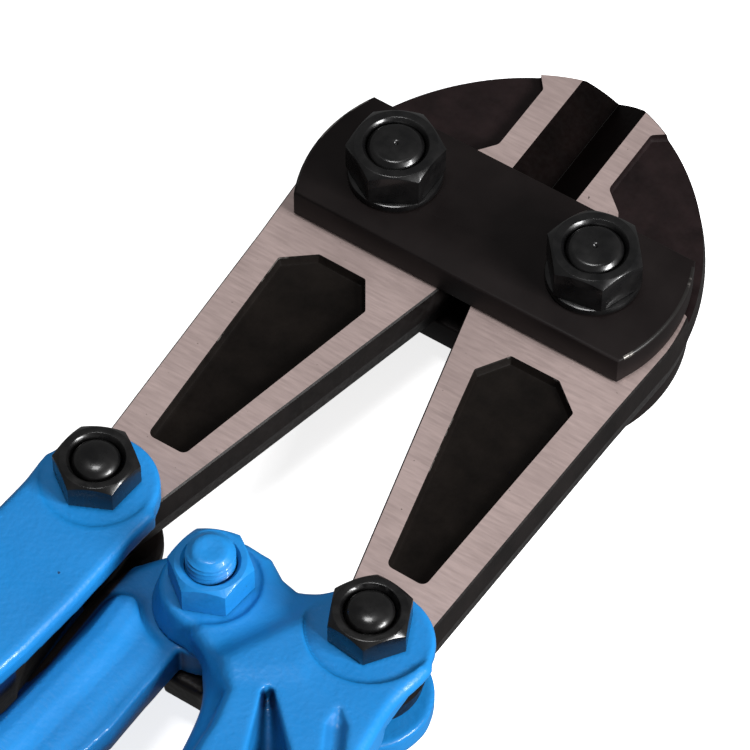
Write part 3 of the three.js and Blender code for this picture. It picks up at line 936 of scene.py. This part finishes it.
def right_casting(node):
    field = Field((-16, -214, -18), (62, -82, 18), STEP)
    edge = np.where(field.z < 0, 4.5, 2.4).astype(np.float32)
    ear = field.disc(34, -97.5, EAR_RADIUS)
    left_side = [(22.2, -168), (19.4, -145), (18.2, -130), (16.4, -122.5), (12, -117), (21.7, -97.5)]
    upper = field.outline([(46.3, -97.5), (45.7, -104), (45.9, -111), (49.5, -145), (54.6, -168)]
                          + left_side)
    lower = field.outline([(44, -97.5), (43, -104), (40, -109), (38.5, -118), (41, -132), (47, -146),
                           (54.6, -168)] + left_side)
    share = np.clip((field.z + 5) / 8, 0, 1)
    body = upper * share + lower * (1 - share)
    solid = field.slab(smooth_union(ear, body, 4), EAR_TOP + 0.9, edge)
    web = field.plate([(0, -91.4), (6.5, -91.4), (11, -94.2), (15, -95), (19, -93.2), (23, -90.5),
                       (27, -112), (14, -120), (3, -114.5)], BOSS_TOP + 0.4, 2.6)
    skirt = field.plate([(11.5, -114), (11, -118), (13.2, -129), (16.8, -146), (24, -160),
                         (40, -160), (40, -114)], 6.5, 3.2)
    lobe = field.plate([(-2.6, -104), (-3.6, -113), (-2.2, -117.5), (10.6, -117.5), (24, -124), (26, -104)],
                       (BOSS_TOP - 4.4) / 2, 1.4, -(BOSS_TOP + 4.4) / 2)
    reach = np.hypot(field.x, field.y - CENTRE_Y)
    taper = 12.1 - 2.0 * np.clip((np.abs(field.z) - 4) / (BOSS_TOP - 4), 0, 1)
    boss = field.slab(reach - taper, BOSS_TOP, 1.3)
    socket, radius, station = socket_field(field, 1)
    for shape, fillet in ((web, 5), (skirt, 7), (boss, 2.2), (lobe, 1.5), (socket, 6)):
        solid = smooth_union(solid, shape, fillet)
    trim = [(44.6, -80), (44.6, -104), (44.8, -109.6), (48, -114.6), (70, -118), (70, -80)]
    cuts = [
        # spot faces round the two nuts
        (np.maximum(field.disc(TAIL.x, TAIL.y, 12.9), EAR_TOP - np.abs(field.z)), 0.6),
        (np.maximum(reach - 9.9, BOSS_TOP - np.abs(field.z)), 0.5),
        # a deep flute that widens down the handle, and a shallow groove beside it
        (flute(field, (24.0, -119), (33.4, -133), 3.9, 9.0, 0.9), 1.5),
        (flute(field, (32.6, -131.5), (37.5, -160), 3.9, 7.0, 1.0), 2.0),
        (flute(field, (37.6, -115.0), (42.6, -124.5), 1.7, 1.6, 2.5), 1.4),
        # the upper ear's side draws in above the slot
        (field.plate(trim, 6.4, 2.4, 4.4), 1.2),
    ]
    for shape, fillet in cuts:
        solid = smooth_cut(solid, shape, fillet)
    # room for the tongue, the centre bolt, the jaw's tail and the tube
    room = field.outline([(-20, -90), (6, -90), (20, -92), (20, -104), (6, -118), (-20, -118)])
    solid = np.maximum(solid, -field.slab(np.minimum(room, reach - 14.7), 4.3, 0.1))
    solid = smooth_cut(solid, jaw_slot(field, 1), 0.9)
    solid = np.maximum(solid, CAST_BORE - reach)
    solid = np.maximum(solid, -field.disc(TAIL.x, TAIL.y, CAST_BORE))
    solid = handle_cuts(field, solid, radius, station, 1)
    # painted shadow: the slot's walls and the lobe's wall under the tongue are darkened to near-black
    end_wall = field.outline([(-6, -119.5), (11.5, -119.5), (11.5, -112), (-6, -112)])
    painted_shadow = [(slot_plan(field, 1), -JAW_HALF, JAW_HALF + 0.3), (end_wall, -11.2, -3.6)]
    return stand_for(field_object(node + "_body", field, solid, painted_shadow), node)


def flute(field, start, end, half_width, depth, opening):
    """A long round-bottomed trough in both faces between two points."""
    ax, ay = start
    ex, ey = end[0] - ax, end[1] - ay
    length = math.hypot(ex, ey)
    t = np.clip(((field.x - ax) * ex + (field.y - ay) * ey) / length ** 2, 0, 1)
    away = np.hypot(field.x - ax - t * ex, field.y - ay - t * ey)
    width = half_width * np.clip(0.3 + opening * t, 0, 1) * np.clip(0.5 + 3 * (1 - t), 0, 1)
    lift = (np.abs(field.z) - (EAR_TOP + 1)) * (half_width / depth) / np.maximum(width / half_width, 0.4)
    return np.hypot(away * (half_width / np.maximum(width, 0.3)), lift) - half_width


def left_casting(node):
    field = Field((-62, -214, -18), (17, -82, 18), STEP)
    ear = field.disc(-31.4, -96.5, EAR_RADIUS)
    body = field.outline([(-43.7, -96.5), (-44.8, -111), (-49.4, -145), (-54.6, -168), (-24.5, -168),
                          (-22.4, -145), (-20.9, -136), (-19.4, -121), (-18.6, -107), (-18.4, -96.5)])
    edge = np.where(field.z < 0, 3.2, 1.9).astype(np.float32)
    fork = field.slab(smooth_union(ear, body, 3), EAR_TOP, edge)
    spot = np.maximum(field.disc(-TAIL.x, TAIL.y, 11.6), EAR_TOP - 0.45 - np.abs(field.z))
    fork = smooth_cut(fork, spot, 0.6)
    socket, radius, station = socket_field(field, -1)
    fork = smooth_union(fork, socket, 5)
    fork = smooth_cut(fork, jaw_slot(field, -1), 0.7)
    undercut = field.outline([(-26, -80), (-10, -80), (-10, -112), (-19.6, -136), (-24, -158),
                              (-24.6, -158), (-22.6, -138), (-23.8, -128), (-25, -112)])
    fork = smooth_cut(fork, field.slab(undercut, 7.6, 1.4), 0.6)
    # the bar beside the fork: a rounded ridge, a shallow crease, a lower bulge and a thin flange
    bar_points = [(-19.6, -146), (-18.9, -136), (-18.5, -119)]
    bar_points += arc(-12.9, -116.6, 5.6, 180, 90, 8)
    bar_points += bezier((-11.5, -111), (-7.2, -111.8), (-3, -115.5), (-0.6, -121), 8)[1:]
    bar_points += [(0, -126), (-0.2, -138)]
    bar_points += bezier((-0.2, -138), (-1.4, -154), (-12.4, -167), (-19.4, -178), 8)[1:]
    bar_points += [(-34, -168)]
    bar_plan = field.outline(bar_points)
    lean = np.where(field.y < -122, (field.y + 122) * 0.085, 0) + 0 * field.x
    shift = (field.x - lean).astype(np.float32)
    section = [(-19, 3.6), (-17.6, 5.2), (-15.5, 6.6), (-13, 6.9), (-10.5, 6.4), (-8.3, 5.3), (-7.1, 4.85),
               (-6.0, 4.8), (-4.2, 4.5), (-2.4, 3.3), (-1.5, 2.2), (-0.9, 1.5), (0.4, 1.3)]
    height = np.interp(shift.ravel(), *zip(*section)).reshape(shift.shape).astype(np.float32)
    bar = -smooth_union(-bar_plan, -(np.abs(field.z) - height) * 0.85, 1.6)
    reach = np.hypot(field.x, field.y - CENTRE_Y)
    bar = smooth_cut(bar, reach - 14.5, 0.8)
    tongue_plan = field.outline([(-9, -94.2), (-13.4, -99.2), (-17.4, -104.5), (-19.6, -110), (-19.8, -116),
                                 (-19.6, -140), (-0.4, -138), (0, -126), (0.6, -114.8), (6, -110)])
    flange_plan = np.maximum(bar_plan + 0.3, field.y + 130)
    tongue = field.slab(np.minimum(np.minimum(tongue_plan, flange_plan), reach - 12.4), 4.0, 0.9)
    rim = np.hypot(np.maximum(np.abs(tongue_plan) - 0.1, 0), np.abs(field.z) - 2.9) - 0.75
    tongue = smooth_union(tongue, np.maximum(rim, field.x + 5.5), 0.6)
    bar = smooth_union(bar, tongue, 1.6)
    bar = smooth_union(bar, socket, 5)
    # a slit between the bar and the fork, closed by a shallow groove where they meet
    slit = field.outline([(-21.2, -100), (-17.0, -100), (-17.6, -126), (-20.5, -138), (-24.2, -158),
                          (-24.8, -158), (-21.9, -138), (-21.6, -126)])
    fork = smooth_cut(fork, np.maximum(slit, np.abs(field.z) - 7.8), 0.5)
    solid = smooth_union(bar, fork, 0.8)
    solid = np.maximum(solid, CENTRE_BOLT_ROOM - reach)
    solid = np.maximum(solid, -field.disc(-TAIL.x, TAIL.y, CAST_BORE))
    solid = handle_cuts(field, solid, radius, station, -1)
    # painted shadow: the slot, the undercut, the slit beside the bar and the lower ear's lip are darkened
    # to near-black where the fork shades them
    lip = field.outline([(-26, -84), (-15, -84), (-15, -108), (-19.5, -112), (-26, -112)])
    painted_shadow = [(slot_plan(field, -1), -JAW_HALF, JAW_HALF), (undercut, -5, 7.4), (slit, -7.7, 7.4)]
    limit = np.maximum(field.x + 18.6, -137 - field.y)
    painted_shadow = [(np.maximum(plan, limit), low, high) for plan, low, high in painted_shadow]
    painted_shadow.append((lip, -12.6, -4.8))
    return stand_for(field_object(node + "_body", field, solid, painted_shadow), node)


# -------- tubes, grips and pins


def on_handle(side, vertices):
    """Turns a body drawn round Z, with height as the station, onto a handle's axis."""
    placed = []
    c, s = math.cos(LEAN), math.sin(LEAN)
    for px, py, station in vertices:
        x, y = px, -station
        placed.append((side * HANDLE[0] + c * x - side * s * y, HANDLE[1] + side * s * x + c * y, py))
    return placed


def tube(side, node):
    start, end, inner, outer = TUBE_START, HANDLE_END - 5.3, 11.5, TUBE_RADIUS - 0.05
    profile = [(inner, start), (outer - 0.25, start), (outer, start + 0.4), (outer, end), (inner, end),
               (inner, start)]
    vertices, faces = lathe(profile, 96)
    data = on_handle(side, vertices), faces
    return stand_for(oriented(make_mesh(node + "_painted", data, [PAINT_TUBE], 40)), node)


def grip(side, node):
    """A moulded rubber grip: a flange at each end, a palm swell and rows of raised bars."""
    start, end = HANDLE_END - 142, HANDLE_END
    row_pitch, bars_round = 7.0, 9
    rows = [(14.25, start + 0.4), (16.6, start), (18.2, start + 0.6), (19, start + 2.2), (19, start + 5.2),
            (18.4, start + 7), (17.2, start + 8.6)]
    station = start + 10
    while station < end - 18:
        t = (station - start - 10) / (end - start - 28)
        rows.append((16.3 + 0.5 * math.sin(math.pi * t), station))
        station += 0.5
    rows += [(16.4, end - 16), (17.2, end - 13.5), (18.4, end - 11), (19, end - 8.6), (19, end - 3.4),
             (18.5, end - 1.7), (17.4, end - 0.6), (15.9, end - 0.05), (12, end - 0.05), (11, end - 0.5),
             (6, end - 0.5), (0, end - 0.5)]

    def moulded(r, z, angle):
        if r > 16.9 or z < start + 14 or z > end - 22:
            return r
        rows_up = (z - start - 14) / row_pitch
        row = rows_up % 1.0
        rise = min(1.0, max(0.0, min(row - 0.14, 0.86 - row) * row_pitch / 0.6))
        lobe = math.sin(angle * bars_round + (math.pi if int(rows_up) % 2 else 0))
        return r - 0.55 + 1.0 * rise * min(1.0, max(0.0, (lobe + 0.35) / 0.3))

    vertices, faces = lathe(rows, 216, moulded)
    data = on_handle(side, vertices), faces
    return stand_for(oriented(make_mesh(node + "_moulded", data, [RUBBER], 50)), node)


def tube_pin(node):
    low, high, x, y = upright(node)
    end = [(0, 0), (1.0, 0.05), (1.8, 0.35), (2.45, 1.0)]
    profile = [(r, low.z + h) for r, h in end] + [(r, high.z - h) for r, h in reversed(end)]
    return stand_for(make_mesh(node + "_turned", lathe(profile, 40, None, x, y), [ZINC]), node)


# -------- the object

# how far each hexagon is turned, in degrees, on the left, the right and the centre bolt
HEAD_TURN = {"left": 30, "right": 10}
TAIL_TURN = {"left": 25, "right": 54}
CENTRE_TURN = 23
for label, side in (("left", -1), ("right", 1)):
    jaw(side, f"{label}_jaw")
    hex_nut(f"{label}_head_nut", HEAD_TURN[label], HEAD_BOLT, OXIDE)
    bolt(f"{label}_head_bolt", HEAD_BOLT, HEAD_PITCH, HEAD_TURN[label], OXIDE, "flat", 18.0, 5.5)
    washer(f"{label}_head_washer")
    hex_nut(f"{label}_tail_nut", TAIL_TURN[label], TAIL_BOLT, OXIDE)
    bolt(f"{label}_tail_bolt", TAIL_BOLT, TAIL_PITCH, TAIL_TURN[label], OXIDE, "dome", 16.0, 5.0)
    tube(side, f"{label}_handle_tube")
    grip(side, f"{label}_grip")
    tube_pin(f"{label}_tube_pin")
link_plate("upper_link_plate")
link_plate("lower_link_plate")
hex_nut("centre_nut", CENTRE_TURN, TAIL_BOLT, PAINT)
bolt("centre_bolt", TAIL_BOLT, TAIL_PITCH, CENTRE_TURN, PAINT, "stub", 16.0, 5.0)
left_casting("left_handle_casting")
right_casting("right_handle_casting")

# -------- floor, light and camera


def build_stage():
    mesh = bpy.data.meshes.new("floor")
    work = bmesh.new()
    bmesh.ops.create_grid(work, x_segments=1, y_segments=1, size=6)
    work.to_mesh(mesh)
    work.free()
    pale = Surface("pale_floor", (0.93, 0.93, 0.93), 0.85, 0.0, 0.1)
    pale.tint(pale.noise(3, 2.0), (0.3, 0.92), (0.7, 0.94))
    pale.set("Emission Color", (1, 1, 1, 1))
    pale.set("Emission Strength", 0.8)
    mesh.materials.append(pale.material)
    floor = in_scene("floor", mesh)
    floor.visible_diffuse = False
    floor.visible_glossy = False
    world = bpy.data.worlds.new("studio")
    world.use_nodes = True
    sky = world.node_tree.nodes["Background"]
    sky.inputs["Color"].default_value = (1, 1, 1, 1)
    sky.inputs["Strength"].default_value = 0.19
    bpy.context.scene.world = world


def area_light(name, place, target, width, height, power, sheen):
    data = bpy.data.lights.new(name, "AREA")
    data.shape = "RECTANGLE"
    data.size, data.size_y, data.energy = width, height, power
    data.specular_factor = sheen
    light = in_scene(name, data)
    light.location = place
    light.rotation_mode = "QUATERNION"
    light.rotation_quaternion = (Vector(target) - Vector(place)).to_track_quat("-Z", "Y")
    light.visible_camera = False


def build_camera():
    data = bpy.data.cameras.new("camera")
    data.lens, data.sensor_width = 228.49, 36.0
    camera = in_scene("camera", data)
    right = Vector((0.8375, 0.5464, 0.0039)).normalized()
    back = Vector((0.3135, -0.4862, 0.8157)).normalized()
    up = back.cross(right).normalized()
    right = up.cross(back)
    rows = [(right[k], up[k], back[k]) for k in range(3)]
    camera.matrix_world = Matrix.Translation((0.2998, -0.2601, 0.81175)) @ Matrix(rows).to_4x4()
    bpy.context.scene.camera = camera


build_stage()
# Lights: name, place, aim, width and height in metres, watts, share in reflections.
area_light("right_window", (0.95, 0.12, 0.5), (0, 0.19, 0), 0.42, 0.3, 19, 1.0)
area_light("overhead", (-0.1, 0.1, 2.1), (-0.05, 0.12, 0), 0.55, 0.55, 17, 0.25)
area_light("spark", (0.95, 0.3, 0.76), (0, 0.2, 0.02), 0.12, 0.12, 3.5, 1.0)
build_camera()
bpy.context.scene.view_settings.view_transform = "Standard"
